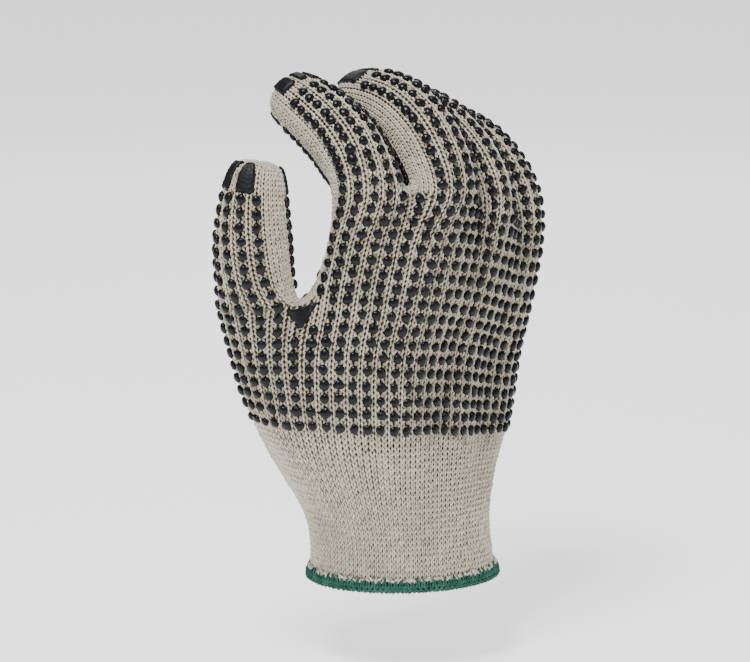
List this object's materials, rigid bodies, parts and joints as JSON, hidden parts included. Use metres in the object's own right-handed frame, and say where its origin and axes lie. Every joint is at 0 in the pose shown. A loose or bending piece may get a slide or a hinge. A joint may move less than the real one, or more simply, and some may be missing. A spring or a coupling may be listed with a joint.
{
  "type": "pvc dotted knit glove",
  "caption": "String-knit work glove held in a half-closed grip, with raised grip dots on both faces, solid fingertip patches and an overlocked cuff edge.",
  "frame": {"origin": "the middle of the cuff opening, where the wrist goes in", "axes": "+Z from the cuff opening up the hand, back of the hand towards -Y and palm towards +Y, thumb towards -X and little finger towards +X"},
  "size_m": [0.1256, 0.071, 0.1703],
  "materials": {
    "knit": "matt natural cotton and polyester string in plain knit stitches",
    "grip": "dark grey soft PVC, printed on and slightly glossy",
    "overlock": "matt green overlock thread in dense loops"
  },
  "bodies": {
    "root": {"wrist_cuff": "knit", "palm_body": "knit", "thumb": "knit", "index_finger": "knit", "middle_finger": "knit", "ring_finger": "knit", "little_finger": "knit", "cuff_hem": "overlock", "thumb_back_radial_patch": "grip", "thumb_back_centre_bar": "grip", "thumb_back_ulnar_patch": "grip", "index_finger_back_radial_patch": "grip", "index_finger_back_centre_bar": "grip", "index_finger_back_ulnar_patch": "grip", "middle_finger_back_radial_patch": "grip", "middle_finger_back_centre_bar": "grip", "middle_finger_back_ulnar_patch": "grip", "ring_finger_back_radial_patch": "grip", "ring_finger_back_centre_bar": "grip", "ring_finger_back_ulnar_patch": "grip", "little_finger_back_radial_patch": "grip", "little_finger_back_centre_bar": "grip", "little_finger_back_ulnar_patch": "grip", "thumb_palm_radial_patch": "grip", "thumb_palm_centre_bar": "grip", "thumb_palm_ulnar_patch": "grip", "index_finger_palm_radial_patch": "grip", "index_finger_palm_centre_bar": "grip", "index_finger_palm_ulnar_patch": "grip", "middle_finger_palm_radial_patch": "grip", "middle_finger_palm_centre_bar": "grip", "middle_finger_palm_ulnar_patch": "grip", "ring_finger_palm_radial_patch": "grip", "ring_finger_palm_centre_bar": "grip", "ring_finger_palm_ulnar_patch": "grip", "little_finger_palm_radial_patch": "grip", "little_finger_palm_centre_bar": "grip", "little_finger_palm_ulnar_patch": "grip", "thumb_crotch_back_patch": "grip", "thumb_crotch_palm_patch": "grip"}
  },
  "joints": []
}
